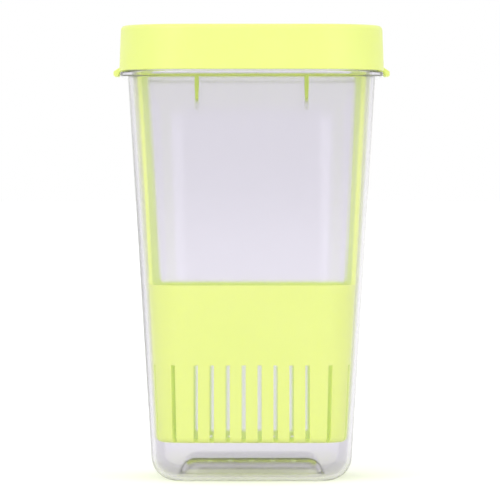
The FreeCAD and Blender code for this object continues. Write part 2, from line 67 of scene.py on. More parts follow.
# how broad each light is, and the height in metres that it points at
LIGHT_SPREAD = math.radians(50)
LIGHT_AIM = 0.12
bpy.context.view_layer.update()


def linear(code):
    """Turns an sRGB hex code into a linear colour with an alpha of 1."""
    channels = [int(code[start:start + 2], 16) / 255 for start in (1, 3, 5)]
    return [
        channel / 12.92 if channel <= 0.04045 else ((channel + 0.055) / 1.055) ** 2.4
        for channel in channels
    ] + [1.0]


def length(name, description, millimetres):
    """A size property, given in millimetres and kept in metres."""
    return FloatProperty(
        name=name,
        description=description,
        default=millimetres * MM,
        min=0.0,
        precision=5,
        unit="LENGTH",
    )


def angle(name, description, degrees):
    return FloatProperty(
        name=name,
        description=description,
        default=math.radians(degrees),
        subtype="ANGLE",
        unit="ROTATION",
    )


def colour(name, description, code):
    return FloatVectorProperty(
        name=name,
        description=description,
        default=linear(code),
        size=4,
        min=0.0,
        max=1.0,
        subtype="COLOR",
    )


class KeeperForm(bpy.types.PropertyGroup):
    """Sizes that the pieces share."""

    flat_half: length("Flat half width", "Half of the flat between two rounded corners", 30.6)
    corner_steps: IntProperty(
        name="Corner steps",
        description="Facets round each quarter turn of a corner",
        default=16,
        min=4,
    )
    arc_steps: IntProperty(
        name="Edge steps",
        description="Facets across each rounded edge",
        default=4,
        min=1,
    )
    ledge_top: length("Ledge top", "Level of the ledge that the skirt of the lid meets", 201.0)
    neck_top: length("Neck top", "Level of the lip, where the rim of the basket rests", 218.0)


class KeeperContainer(bpy.types.PropertyGroup):
    """Sizes of the clear container."""

    foot_half: length("Foot half width", "Half width that the walls run down to", 48.6)
    draft: angle("Wall draft", "Lean of the walls", 3.5)
    wall: length("Wall", "Thickness of the walls and of the foot", 2.0)
    foot_round: length("Foot round", "Radius between the walls and the base", 12.0)
    recess_half: length("Recess half width", "Half width of the hollow under the floor", 34.0)
    recess_flat: length("Recess flat", "Half of the flat between the recess corners", 26.0)
    recess_lean: length("Recess lean", "How far the recess narrows towards its top", 0.8)
    recess_depth: length("Recess depth", "Height of the hollow under the floor", 9.0)
    floor_round: length("Floor round", "Radius round the hollow under the floor", 6.0)
    ledge_half: length("Ledge half width", "Half width of the ledge", 64.69)
    ledge_thickness: length("Ledge thickness", "Thickness of the ledge", 2.5)
    neck_outer_half: length("Neck half width", "Half width of the neck outside", 62.39)
    neck_inner_half: length("Bore half width", "Half width of the neck inside", 58.89)
    rebate_half: length("Rebate half width", "Half width of the seat for the basket's rim", 60.49)
    rebate_depth: length("Rebate depth", "Depth of that seat", 2.3)
    rib_spacing: length("Rib spacing", "Distance between the two ribs of a side", 53.2)
    rib_width: length("Rib width", "Thickness of a rib", 2.2)
    rib_length: length("Rib length", "How far a rib runs down the wall", 17.0)
    rib_setback: length("Rib setback", "How far a rib stops short of the ledge's edge", 0.7)
    gate_radius: length("Gate radius", "Radius of the moulding dimple under the floor", 2.6)
    gate_depth: length("Gate depth", "Depth of the moulding dimple", 0.5)


class KeeperBasket(bpy.types.PropertyGroup):
    """Sizes of the slotted basket."""

    foot_level: length("Foot level", "Level of the underside of the floor", 19.2)
    foot_half: length("Foot half width", "Half width that the walls run down to", 46.774)
    draft: angle("Wall draft", "Lean of the walls", 3.05)
    wall: length("Wall", "Thickness of the walls", 2.0)
    floor: length("Floor", "Thickness of the floor", 1.8)
    foot_round: length("Foot round", "Radius round the foot", 3.0)
    inner_round: length("Inner foot round", "Radius round the floor inside", 1.4)
    flange_half: length("Flange half width", "Half width of the rim's flange", 60.19)
    flange: length("Flange", "Thickness of the rim's flange", 2.0)
    band: length("Rim band", "Height of the band under the flange", 14.0)
    cup_height: length("Cup height", "Height of the cup from its foot to the sill", 77.2)
    arm_half: length("Arm half width", "Half width of the two arms", 30.0)
    window_round: length("Window round", "Radius of the window corners", 8.0)
    slot_width: length("Slot width", "Width of the upright slots", 2.1)
    slot_height: length("Slot height", "Height of the upright slots", 38.1)
    slot_pitch: length("Slot pitch", "Distance from one slot to the next", 7.8)
    slot_count: IntProperty(
        name="Slots", description="Upright slots along each side", default=8, min=1
    )
    slot_reach: length("Slot reach", "How far a slot cuts into the floor", 4.0)
    corner_lean: angle("Corner slot angle", "Turn of a corner slot from its side", 25.0)
    drain_width: length("Drain width", "Width of the slots in the floor", 2.6)
    drain_length: length("Drain length", "Length of the slots in the floor", 46.0)
    drain_pitch: length("Drain pitch", "Distance between the slots in the floor", 10.4)
    drain_count: IntProperty(
        name="Drains", description="Slots in the floor", default=5, min=1
    )


class KeeperLid(bpy.types.PropertyGroup):
    """Sizes of the lid and its seal."""

    skirt_level: length("Skirt level", "Lowest level of the skirt", 201.5)
    top_level: length("Top level", "Level of the top face", 223.5)
    outer_half: length("Skirt half width", "Half width of the skirt at its foot", 64.99)
    inner_half: length("Inner half width", "Half width inside the skirt", 62.79)
    draft: angle("Draft", "Lean of the skirt", 2.0)
    ceiling: length("Ceiling", "Level of the underside of the top", 221.3)
    top_round: length("Top round", "Radius round the top", 2.2)
    tab_half: length("Tab half width", "Half width of a lift tab", 14.0)
    tab_reach: length("Tab reach", "How far a tab stands out from the skirt", 3.5)
    tab_drop: length("Tab drop", "How far a tab hangs below the skirt", 2.1)
    tab_thickness: length("Tab thickness", "Thickness of a tab", 2.2)
    tab_rise: length("Tab rise", "Where a tab's upper face meets the skirt", 3.0)
    tab_round: length("Tab round", "Radius of the tab's corners", 2.5)
    keeper_inner: length("Keeper inner", "Half width inside the rib that holds the seal", 57.69)
    keeper_outer: length("Keeper outer", "Half width outside that rib", 59.09)
    keeper_height: length("Keeper height", "Height of that rib", 2.2)
    seal_inner: length("Seal inner", "Half width inside the seal", 59.29)
    seal_outer: length("Seal outer", "Half width outside the seal", 62.59)
    seal_level: length("Seal level", "Lowest level of the seal", 218.3)


class KeeperFinish(bpy.types.PropertyGroup):
    """Colours of the mouldings."""

    clear_tint: colour("Clear tint", "What a long way through the clear wall takes on", "#C4C1CE")
    lid_lime: colour("Lid", "Colour of the lid", "#DFE886")
    basket_lime: colour("Basket", "Colour of the basket", "#EDFB81")
    seal_white: colour("Seal", "Colour of the seal", "#E9ECE4")


class KeeperStudio(bpy.types.PropertyGroup):
    """Camera and light."""

    camera_distance: FloatProperty(
        name="Camera distance",
        description="Distance of the camera in front of the keeper's middle",
        default=2.3,
        unit="LENGTH",
    )
    eye_level: length("Eye level", "Height of the camera", 142.0)
    aim_level: length("Aim level", "Height of the point in the middle of the view", 113.0)
    aim_side: FloatProperty(
        name="Aim side",
        description="How far left of the keeper's middle the camera stands and aims",
        default=0.8 * MM,
        unit="LENGTH",
    )
    view_width: length("View width", "Width of the view at the keeper's middle", 249.2)
    sky: FloatProperty(
        name="Sky", description="Strength of the even light from all round", default=0.86
    )
    key: FloatProperty(
        name="Key", description="Strength of the soft light from the front left", default=0.78
    )
    fill: FloatProperty(
        name="Fill", description="Strength of the soft light from the front right", default=0.56
    )
    top: FloatProperty(
        name="Top", description="Strength of the soft light overhead", default=0.28
    )


def rounded_square(bm, half, flat, level):
    """Adds a level square face with rounded corners."""
    place = Matrix.Translation((0, 0, level)) @ Matrix.Rotation(math.radians(45), 4, "Z")
    square = bmesh.ops.create_circle(
        bm, cap_ends=True, segments=4, radius=half * math.sqrt(2), matrix=place
    )
    corners = bmesh.ops.bevel(
        bm,
        geom=square["verts"],
        offset=half - flat,
        offset_type="OFFSET",
        affect="VERTICES",
        segments=bpy.context.scene.keeper_form.corner_steps,
        profile=0.5,
        material=-1,
    )
    return corners["verts"][0].link_faces[0]


def reshape(bm, verts, before, after):
    """Turns one rounded square, given as (half width, flat half, level), into another."""
    half, flat, level = before
    new_half, new_flat, new_level = after
    growth = (new_half - new_flat) / (half - flat)
    for side_x in (-1, 1):
        for side_y in (-1, 1):
            corner = [
                vert for vert in verts if vert.co.x * side_x > 0 and vert.co.y * side_y > 0
            ]
            middle = Matrix.Translation((-side_x * flat, -side_y * flat, -level))
            bmesh.ops.scale(bm, vec=(growth, growth, 1), verts=corner, space=middle)
            step = new_flat - flat
            bmesh.ops.translate(
                bm, verts=corner, vec=(side_x * step, side_y * step, new_level - level)
            )


def loft(bm, sections, endless=False):
    """Walls through a chain of rounded squares, each (half width, flat half, level)."""
    foot = rounded_square(bm, *sections[0])
    outline = list(foot.edges)
    if endless:
        bmesh.ops.delete(bm, geom=[foot], context="FACES_ONLY")
    following = sections[1:] + sections[:1] if endless else sections[1:]
    for before, after in zip(sections, following):
        grown = bmesh.ops.extrude_edge_only(bm, edges=outline)["geom"]
        verts = {item for item in grown if isinstance(item, bmesh.types.BMVert)}
        outline = [
            item
            for item in grown
            if isinstance(item, bmesh.types.BMEdge) and verts.issuperset(item.verts)
        ]
        reshape(bm, list(verts), before, after)
    if endless:
        bmesh.ops.remove_doubles(bm, verts=bm.verts, dist=WELD)
    else:
        bmesh.ops.contextual_create(bm, geom=outline)
    bmesh.ops.recalc_face_normals(bm, faces=bm.faces)


def arc(centre_half, centre_level, radius, start, end, steps=None):
    """Points (half width, level) round part of a circle, from one angle in degrees to another."""
    steps = steps or bpy.context.scene.keeper_form.arc_steps
    points = []
    for step in range(steps + 1):
        turn = math.radians(start + (end - start) * step / steps)
        points.append(
            (centre_half + radius * math.cos(turn), centre_level + radius * math.sin(turn))
        )
    return points


def with_flat(points, flat):
    return [(half, flat, level) for half, level in points]


def prism(bm, outline, way):
    """A solid between a flat outline and the same outline moved by a vector."""
    corners = [bm.verts.new(point) for point in outline]
    face = bm.faces.new(corners)
    swept = bmesh.ops.extrude_face_region(bm, geom=[face])
    moved = [item for item in swept["geom"] if isinstance(item, bmesh.types.BMVert)]
    bmesh.ops.translate(bm, verts=moved, vec=way)
    bmesh.ops.recalc_face_normals(bm, faces=bm.faces)


def block(bm, low, high, turn=Matrix.Identity(4)):
    """A box between two corners, then turned and moved as a whole."""
    low = Vector(low)
    high = Vector(high)
    size = high - low
    place = turn @ Matrix.Translation((low + high) / 2) @ Matrix.Diagonal((*size, 1))
    return bmesh.ops.create_cube(bm, size=1, matrix=place)["verts"]


def as_object(bm, name):
    mesh = bpy.data.meshes.new(name)
    bm.to_mesh(mesh)
    bm.free()
    piece = bpy.data.objects.new(name, mesh)
    bpy.context.scene.collection.objects.link(piece)
    return piece


def combine(piece, tool, operation):
    """Joins the tool to the piece, or cuts it out of the piece, and removes the tool."""
    step = piece.modifiers.new("combine", "BOOLEAN")
    step.operation = operation
    step.object = tool
    step.solver = "EXACT"
    result = piece.evaluated_get(bpy.context.evaluated_depsgraph_get())
    mesh = bpy.data.meshes.new_from_object(result)
    if not mesh.polygons:
        raise RuntimeError(f"{piece.name}: nothing is left after {operation}")
    piece.modifiers.clear()
    piece.data = mesh
    bpy.data.objects.remove(tool)


def finish_piece(piece, material, body, node, edge_round=0.0):
    """Smooths, paints and seats a piece, and hides the imported part that it stands for."""
    for face in piece.data.polygons:
        face.use_smooth = True
    piece.data.set_sharp_from_angle(angle=CRISP_ANGLE)
    if edge_round:
        rounding = piece.modifiers.new("edge_round", "BEVEL")
        rounding.width = edge_round
        rounding.segments = 2
        rounding.limit_method = "ANGLE"
        rounding.angle_limit = ROUNDED_ANGLE
        rounding.use_clamp_overlap = True
    normals = piece.modifiers.new("even_flats", "WEIGHTED_NORMAL")
    normals.keep_sharp = True
    piece.data.materials.clear()
    piece.data.materials.append(material)
    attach(piece, body)
    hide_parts(node)


def add_node(tree, kind, feeds=None, **settings):
    """Adds a node, sets it up and feeds its inputs with values or other nodes' outputs."""
    node = tree.nodes.new(kind)
    for key, value in settings.items():
        setattr(node, key, value)
    for key, value in (feeds or {}).items():
        if isinstance(value, bpy.types.NodeSocket):
            tree.links.new(value, node.inputs[key])
        else:
            node.inputs[key].default_value = value
    return node


def new_material(name):
    material = bpy.data.materials.new(name)
    material.use_nodes = True
    material.node_tree.nodes.clear()
    return material, material.node_tree


def per_metre(millimetres):
    """Scale of a pattern whose features are this far apart."""
    return 1 / (millimetres * MM)


def clear_styrene(name, tint):
    """Clear SAN, injection moulded: glassy and colourless face on, greyer where the eye looks
    along a wall, with the slight waviness of a moulded sheet."""
    material, tree = new_material(name)
    place = add_node(tree, "ShaderNodeTexCoord").outputs["Object"]
    # sink and flow of the moulding, some 30 mm apart and far shallower than a hair
    waves = add_node(
        tree, "ShaderNodeTexNoise", {"Vector": place, "Scale": per_metre(28), "Detail": 1.0}
    )
    bump = add_node(
        tree,
        "ShaderNodeBump",
        {"Strength": 0.2, "Distance": 0.05 * MM, "Height": waves.outputs["Fac"]},
    )
    plastic = add_node(
        tree,
        "ShaderNodeBsdfPrincipled",
        {
            "Base Color": linear("#ECEAF0"),
            "Roughness": 0.09,
            "IOR": 1.57,
            "Transmission Weight": 1.0,
            "Normal": bump.outputs["Normal"],
        },
    )
    through = add_node(tree, "ShaderNodeBsdfTransparent", {"Color": linear("#FFFFFF")})
    path = add_node(tree, "ShaderNodeLightPath")
    soft = add_node(tree, "ShaderNodeMixShader", {"Fac": path.outputs["Is Diffuse Ray"]})
    tree.links.new(plastic.outputs[0], soft.inputs[1])
    tree.links.new(through.outputs[0], soft.inputs[2])
    lamps = add_node(tree, "ShaderNodeMixShader", {"Fac": path.outputs["Is Shadow Ray"]})
    tree.links.new(soft.outputs[0], lamps.inputs[1])
    tree.links.new(through.outputs[0], lamps.inputs[2])
    depth = add_node(tree, "ShaderNodeVolumeAbsorption", {"Color": tint, "Density": 18.0})
    add_node(
        tree,
        "ShaderNodeOutputMaterial",
        {"Surface": lamps.outputs[0], "Volume": depth.outputs[0]},
    )
    return material


def lime_polypropylene(name, body_colour):
    """Dyed polypropylene, injection moulded in a fine matt tool: even satin colour with a small
    painted glow all over that lifts its shaded faces."""
    material, tree = new_material(name)
    place = add_node(tree, "ShaderNodeTexCoord").outputs["Object"]
    # flow of the dye, seen as very faint clouds
    clouds = add_node(
        tree, "ShaderNodeTexNoise", {"Vector": place, "Scale": per_metre(35), "Detail": 2.0}
    )
    deeper = [channel * share for channel, share in zip(body_colour, (0.95, 0.975, 0.86, 1))]
    dye = add_node(
        tree,
        "ShaderNodeMix",
        {"Factor": clouds.outputs["Fac"]},
        data_type="RGBA",
    )
    dye.inputs["A"].default_value = body_colour
    dye.inputs["B"].default_value = deeper
    # the tool's spark texture is about 0.1 mm, drawn at 0.7 mm so that it shows
    grain = add_node(
        tree, "ShaderNodeTexNoise", {"Vector": place, "Scale": per_metre(0.7), "Detail": 2.0}
    )
    bump = add_node(
        tree,
        "ShaderNodeBump",
        {"Strength": 0.12, "Distance": 0.03 * MM, "Height": grain.outputs["Fac"]},
    )
    sheen = add_node(
        tree,
        "ShaderNodeMapRange",
        {"Value": clouds.outputs["Fac"], "To Min": 0.34, "To Max": 0.44},
    )
    plastic = add_node(
        tree,
        "ShaderNodeBsdfPrincipled",
        {
            "Roughness": sheen.outputs["Result"],
            # painted glow: the body colour is emitted evenly, so faces stay lit whatever light
            # reaches them
            "Emission Color": body_colour,
            "Emission Strength": LIME_PAINTED_GLOW,
            "IOR": 1.49,
            "Subsurface Weight": 0.3,
            "Subsurface Radius": (1.0, 1.0, 0.25),
            "Subsurface Scale": 2.0 * MM,
            "Normal": bump.outputs["Normal"],
        },
    )
    tree.links.new(dye.outputs["Result"], plastic.inputs["Base Color"])
    add_node(tree, "ShaderNodeOutputMaterial", {"Surface": plastic.outputs[0]})
    return material


def silicone(name, body_colour):
    """Moulded silicone: milky, soft to the eye and slightly dusty."""
    material, tree = new_material(name)
    place = add_node(tree, "ShaderNodeTexCoord").outputs["Object"]
    dust = add_node(
        tree, "ShaderNodeTexNoise", {"Vector": place, "Scale": per_metre(1.5), "Detail": 3.0}
    )
    bump = add_node(
        tree,
        "ShaderNodeBump",
        {"Strength": 0.2, "Distance": 0.05 * MM, "Height": dust.outputs["Fac"]},
    )
    dull = add_node(
        tree, "ShaderNodeMapRange", {"Value": dust.outputs["Fac"], "To Min": 0.5, "To Max": 0.65}
    )
    rubber = add_node(
        tree,
        "ShaderNodeBsdfPrincipled",
        {
            "Base Color": body_colour,
            "Roughness": dull.outputs["Result"],
            "IOR": 1.41,
            "Subsurface Weight": 0.5,
            "Subsurface Radius": (1.0, 1.0, 1.0),
            "Subsurface Scale": 1.5 * MM,
            "Normal": bump.outputs["Normal"],
        },
    )
    add_node(tree, "ShaderNodeOutputMaterial", {"Surface": rubber.outputs[0]})
    return material


class HERBKEEPER_OT_container(bpy.types.Operator):
    """Models the clear container with its raised floor, ledge, neck and ribs"""

    bl_idname = "herb_keeper.container"
    bl_label = "Clear container"

    def execute(self, context):
        form = context.scene.keeper_form
        sizes = context.scene.keeper_container
        bm = bmesh.new()
        loft(bm, self.sections(form, sizes))
        piece = as_object(bm, "clear_container")
        combine(piece, self.ribs(form, sizes), "UNION")
        combine(piece, self.gate(sizes), "DIFFERENCE")
        finish_piece(
            piece,
            clear_styrene("clear_san_moulded", context.scene.keeper_finish.clear_tint),
            "container",
            "container",
        )
        return {"FINISHED"}

    def sections(self, form, sizes):
        """The wall's outline, from under the raised floor, out, up, over the lip and back in."""
        slope = math.tan(sizes.draft)
        lean = math.degrees(sizes.draft)
        # middle of the foot round: that far above the base and that far in from the wall
        inset = sizes.foot_round * (1 - math.sin(sizes.draft)) / math.cos(sizes.draft)
        foot_middle = sizes.foot_half - inset
        wall_inner = sizes.foot_half - sizes.wall
        ledge_bottom = form.ledge_top - sizes.ledge_thickness
        small = 0.5 * MM
        medium = 0.8 * MM
        recess_top_half = sizes.recess_half - sizes.recess_lean
        plateau_half = sizes.recess_half + sizes.wall
        floor_top = sizes.recess_depth + sizes.wall

        # the raised floor and its rim are of one thickness, so each pair of rounds shares a middle
        crown = sizes.floor_round
        recess = arc(recess_top_half - crown, sizes.recess_depth - crown, crown, 90, 0, steps=8)
        mouth = medium + sizes.wall
        recess += arc(sizes.recess_half + mouth, mouth, mouth, 180, 270, steps=8)

        outside = arc(foot_middle, sizes.foot_round, sizes.foot_round, -90, -lean, steps=12)
        under_ledge = sizes.foot_half + (ledge_bottom - small) * slope
        outside += arc(under_ledge + small, ledge_bottom - small, small, 180, 90)
        outside += arc(sizes.ledge_half - medium, ledge_bottom + medium, medium, -90, 0)
        outside += arc(sizes.ledge_half - medium, form.ledge_top - medium, medium, 0, 90)
        outside += arc(sizes.neck_outer_half + small, form.ledge_top + small, small, 270, 180)
        outside += arc(sizes.neck_outer_half - small, form.neck_top - small, small, 0, 90)
        outside += arc(sizes.rebate_half + small, form.neck_top - small, small, 90, 180)
        seat = form.neck_top - sizes.rebate_depth
        outside += arc(sizes.rebate_half - small, seat + small, small, 0, -90)
        outside += arc(sizes.neck_inner_half + small, seat - small, small, 90, 180)
        outside.append((sizes.neck_inner_half, form.ledge_top))
        inner_round = sizes.foot_round - sizes.wall
        inner_middle = wall_inner - inner_round * (1 - math.sin(sizes.draft)) / math.cos(
            sizes.draft
        ) + sizes.wall * slope
        outside += arc(inner_middle, sizes.foot_round, inner_round, -lean, -90, steps=12)

        plateau = arc(plateau_half + medium, sizes.wall + medium, medium, 270, 180)
        crown += sizes.wall
        top_half = plateau_half - sizes.recess_lean - crown
        plateau += arc(top_half, floor_top - crown, crown, 0, 90, steps=8)
        return (
            with_flat(recess, sizes.recess_flat)
            + with_flat(outside, form.flat_half)
            + with_flat(plateau, sizes.recess_flat)
        )

    def ribs(self, form, sizes):
        """Upright ribs that brace the ledge, two on the front and two on the back."""
        slope = math.tan(sizes.draft)
        ledge_bottom = form.ledge_top - sizes.ledge_thickness
        rib_foot = ledge_bottom - sizes.rib_length
        sunk = sizes.wall / 2
        tip = sizes.ledge_half - sizes.rib_setback
        profile = [
            (sizes.foot_half + rib_foot * slope - sunk, rib_foot),
            (sizes.foot_half + rib_foot * slope, rib_foot),
            (tip, ledge_bottom),
            (tip, form.ledge_top - sunk),
            (sizes.foot_half + ledge_bottom * slope - sunk, form.ledge_top - sunk),
        ]
        bm = bmesh.new()
        for side in (-1, 1):
            left = side * sizes.rib_spacing / 2 - sizes.rib_width / 2
            outline = [(left, -out, level) for out, level in profile]
            prism(bm, outline, (sizes.rib_width, 0, 0))
        bmesh.ops.bevel(
            bm,
            geom=bm.edges,
            offset=RIB_EDGE,
            offset_type="OFFSET",
            affect="EDGES",
            segments=2,
            profile=0.5,
            material=-1,
        )
        back = bmesh.ops.duplicate(bm, geom=bm.verts[:] + bm.edges[:] + bm.faces[:])
        moved = [item for item in back["geom"] if isinstance(item, bmesh.types.BMVert)]
        bmesh.ops.rotate(bm, verts=moved, cent=(0, 0, 0), matrix=Matrix.Rotation(math.pi, 3, "Z"))
        return as_object(bm, "rib_tool")

    def gate(self, sizes):
        """The shallow dimple where the plastic entered the mould, under the floor."""
        bm = bmesh.new()
        middle = Matrix.Translation((0, 0, sizes.recess_depth))
        bmesh.ops.create_cone(
            bm,
            cap_ends=True,
            segments=32,
            radius1=sizes.gate_radius + sizes.gate_depth,
            radius2=sizes.gate_radius - sizes.gate_depth,
            depth=2 * sizes.gate_depth,
            matrix=middle,
        )
        return as_object(bm, "gate_tool")


class HERBKEEPER_OT_basket(bpy.types.Operator):
    """Models the basket with its slotted cup, two arms and rim"""

    bl_idname = "herb_keeper.basket"
    bl_label = "Slotted basket"

    def execute(self, context):
        form = context.scene.keeper_form
        sizes = context.scene.keeper_basket
        bm = bmesh.new()
        loft(bm, self.sections(form, sizes))
        piece = as_object(bm, "slotted_basket")
        combine(piece, self.windows(form, sizes), "DIFFERENCE")
        combine(piece, self.slots(form, sizes), "DIFFERENCE")
        combine(piece, self.drains(sizes), "DIFFERENCE")
        finish_piece(
            piece,
            lime_polypropylene(
                "lime_polypropylene_basket", context.scene.keeper_finish.basket_lime
            ),
            "basket",
            "basket",
            edge_round=0.25 * MM,
        )
        return {"FINISHED"}

    def sections(self, form, sizes):
        """From the middle of the floor's underside, out, up, over the rim and back in."""
        slope = math.tan(sizes.draft)
        lean = math.degrees(sizes.draft)
        small = 0.5 * MM
        flange_under = form.neck_top - sizes.flange

        def wall_half(level):
            return sizes.foot_half + (level - sizes.foot_level) * slope

        def foot_arc(radius, base, half_at_base, start, end):
            inset = radius * (1 - math.sin(sizes.draft)) / math.cos(sizes.draft)
            return arc(half_at_base - inset, base + radius, radius, start, end, steps=6)

        points = foot_arc(sizes.foot_round, sizes.foot_level, sizes.foot_half, -90, -lean)
        points += arc(
            wall_half(flange_under - small) + small, flange_under - small, small, 180, 90
        )
        points += arc(sizes.flange_half - small, flange_under + small, small, -90, 0)
        points += arc(sizes.flange_half - small, form.neck_top - small, small, 0, 90)
        mouth = wall_half(form.neck_top - small) - sizes.wall
        points += arc(mouth + small, form.neck_top - small, small, 90, 180)
        floor_top = sizes.foot_level + sizes.floor
        inner_half = wall_half(floor_top) - sizes.wall
        points += foot_arc(sizes.inner_round, floor_top, inner_half, -lean, -90)
        return with_flat(points, form.flat_half)

    def windows(self, form, sizes):
        """Tools for the openings in front and at the back, between the two arms."""
        sill = sizes.foot_level + sizes.cup_height
        head = form.neck_top - sizes.flange - sizes.band
        reach = 2 * sizes.flange_half
        bm = bmesh.new()
        for side in (-1, 1):
            near = side * sizes.arm_half
            far = side * reach
            block(bm, (-reach, min(near, far), sill), (reach, max(near, far), head))
        lengthwise = [
            edge
            for edge in bm.edges
            if abs(edge.verts[0].co.x - edge.verts[1].co.x) > reach
        ]
        bmesh.ops.bevel(
            bm,
            geom=lengthwise,
            offset=sizes.window_round,
            offset_type="OFFSET",
            affect="EDGES",
            segments=8,
            profile=0.5,
            material=-1,
        )
        return as_object(bm, "window_tool")

    def slots(self, form, sizes):
        """Tools for the upright slots along the four sides and round the corners."""
        bm = bmesh.new()
        low = sizes.foot_level - sizes.floor
        high = sizes.foot_level + sizes.slot_height
        half = sizes.slot_width / 2
        first = -(sizes.slot_count - 1) / 2 * sizes.slot_pitch
        near = sizes.foot_half - sizes.slot_reach
        beyond = sizes.slot_height * math.tan(sizes.draft) + sizes.wall
        far = sizes.foot_half + beyond
        corner = form.flat_half
        corner_radius = sizes.foot_half - corner
        for quarter in range(4):
            turn = Matrix.Rotation(math.radians(90 * quarter), 4, "Z")
            for place in range(sizes.slot_count):
                across = first + place * sizes.slot_pitch
                block(bm, (across - half, -far, low), (across + half, -near, high), turn)
            for side in (-1, 1):
                middle = Matrix.Translation((side * corner, -corner, 0))
                slant = Matrix.Rotation(side * sizes.corner_lean, 4, "Z")
                block(
                    bm,
                    (-half, -(corner_radius + beyond), low),
                    (half, -(corner_radius - sizes.slot_reach), high),
                    turn @ middle @ slant,
                )
        return as_object(bm, "slot_tool")

    def drains(self, sizes):
        """Tools for the long slots through the floor."""
        bm = bmesh.new()
        first = -(sizes.drain_count - 1) / 2 * sizes.drain_pitch
        for place in range(sizes.drain_count):
            across = first + place * sizes.drain_pitch
            block(
                bm,
                (
                    across - sizes.drain_width / 2,
                    -sizes.drain_length / 2,
                    sizes.foot_level - sizes.floor,
                ),
                (
                    across + sizes.drain_width / 2,
                    sizes.drain_length / 2,
                    sizes.foot_level + 2 * sizes.floor,
                ),
            )
        return as_object(bm, "drain_tool")


class HERBKEEPER_OT_lid(bpy.types.Operator):
    """Models the deep lid with its two lift tabs and the rib that holds the seal"""

    bl_idname = "herb_keeper.lid"
    bl_label = "Lid"

    def execute(self, context):
        form = context.scene.keeper_form
        sizes = context.scene.keeper_lid
        bm = bmesh.new()
        loft(bm, with_flat(self.outline(sizes), form.flat_half))
        piece = as_object(bm, "lime_lid")
        combine(piece, self.tabs(sizes), "UNION")
        finish_piece(
            piece,
            lime_polypropylene("lime_polypropylene_lid", context.scene.keeper_finish.lid_lime),
            "lid",
            "lid",
        )
        return {"FINISHED"}

    def outline(self, sizes):
        """From the middle of the underside, round the keeper rib and the skirt to the top."""
        lean = math.degrees(sizes.draft)
        small = 0.3 * MM
        medium = 0.6 * MM
        keeper_foot = sizes.ceiling - sizes.keeper_height
        points = arc(sizes.keeper_inner - small, sizes.ceiling - small, small, 90, 0)
        points += arc(sizes.keeper_inner + small, keeper_foot + small, small, 180, 270)
        points += arc(sizes.keeper_outer - small, keeper_foot + small, small, -90, 0)
        points += arc(sizes.keeper_outer + small, sizes.ceiling - small, small, 180, 90)
        points += arc(sizes.inner_half - small, sizes.ceiling - small, small, 90, 0)
        points += arc(sizes.inner_half + medium, sizes.skirt_level + medium, medium, 180, 270)
        points += arc(sizes.outer_half - medium, sizes.skirt_level + medium, medium, -90, lean)
        rise = sizes.top_level - sizes.skirt_level
        top_half = sizes.outer_half - rise * math.tan(sizes.draft)
        inset = sizes.top_round * (1 - math.sin(sizes.draft)) / math.cos(sizes.draft)
        points += arc(
            top_half - inset,
            sizes.top_level - sizes.top_round,
            sizes.top_round,
            lean,
            90,
            steps=8,
        )
        return points

    def tabs(self, sizes):
        """Lift tabs that flare out and down from the middle of the left and right sides."""
        tip = sizes.outer_half + sizes.tab_reach
        lowest = sizes.skirt_level - sizes.tab_drop
        root = sizes.outer_half - (sizes.outer_half - sizes.inner_half) / 2
        profile = [
            (root, sizes.skirt_level),
            (sizes.outer_half, sizes.skirt_level),
            (tip - sizes.tab_thickness, lowest),
            (tip, lowest),
            (tip, lowest + sizes.tab_thickness),
            (root, sizes.skirt_level + sizes.tab_rise),
        ]
        bm = bmesh.new()
        outline = [(out, -sizes.tab_half, level) for out, level in profile]
        prism(bm, outline, (0, 2 * sizes.tab_half, 0))
        upright = [
            edge
            for edge in bm.edges
            if all(abs(vert.co.x - tip) < 0.01 * MM for vert in edge.verts)
            and abs(edge.verts[0].co.y - edge.verts[1].co.y) < 0.01 * MM
        ]
        bmesh.ops.bevel(
            bm,
            geom=upright,
            offset=sizes.tab_round,
            offset_type="OFFSET",
            affect="EDGES",
            segments=6,
            profile=0.5,
            material=-1,
        )
        sharp = [edge for edge in bm.edges if edge.calc_face_angle(0) > math.radians(30)]
        bmesh.ops.bevel(
            bm,
            geom=sharp,
            offset=TAB_EDGE,
            offset_type="OFFSET",
            affect="EDGES",
            segments=3,
            profile=0.5,
            material=-1,
        )
        other = bmesh.ops.duplicate(bm, geom=bm.verts[:] + bm.edges[:] + bm.faces[:])
        moved = [item for item in other["geom"] if isinstance(item, bmesh.types.BMVert)]
        bmesh.ops.rotate(bm, verts=moved, cent=(0, 0, 0), matrix=Matrix.Rotation(math.pi, 3, "Z"))
        return as_object(bm, "tab_tool")


class HERBKEEPER_OT_seal(bpy.types.Operator):
    """Models the soft seal that sits inside the lid"""

    bl_idname = "herb_keeper.seal"
    bl_label = "Lid seal"

    def execute(self, context):
        form = context.scene.keeper_form
        sizes = context.scene.keeper_lid
        soft = 0.5 * MM
        low = sizes.seal_level + soft
        high = sizes.ceiling - soft
        points = arc(sizes.seal_inner + soft, low, soft, 180, 270)
        points += arc(sizes.seal_outer - soft, low, soft, -90, 0)
        points += arc(sizes.seal_outer - soft, high, soft, 0, 90)
        points += arc(sizes.seal_inner + soft, high, soft, 90, 180)
        bm = bmesh.new()
        loft(bm, with_flat(points, form.flat_half), endless=True)
        finish_piece(
            as_object(bm, "soft_seal"),
            silicone("silicone_moulded", context.scene.keeper_finish.seal_white),
            "lid",
            "lid_seal",
        )
        return {"FINISHED"}


def to_eye(tree):
    """1 for rays that show a surface to the camera: straight, reflected or through glass."""
    path = add_node(tree, "ShaderNodeLightPath")
    shown = add_node(
        tree,
        "ShaderNodeMath",
        {0: path.outputs["Is Camera Ray"], 1: path.outputs["Is Glossy Ray"]},
        operation="MAXIMUM",
    )
    return add_node(
        tree,
        "ShaderNodeMath",
        {0: shown.outputs[0], 1: path.outputs["Is Transmission Ray"]},
        operation="MAXIMUM",
    ).outputs[0]


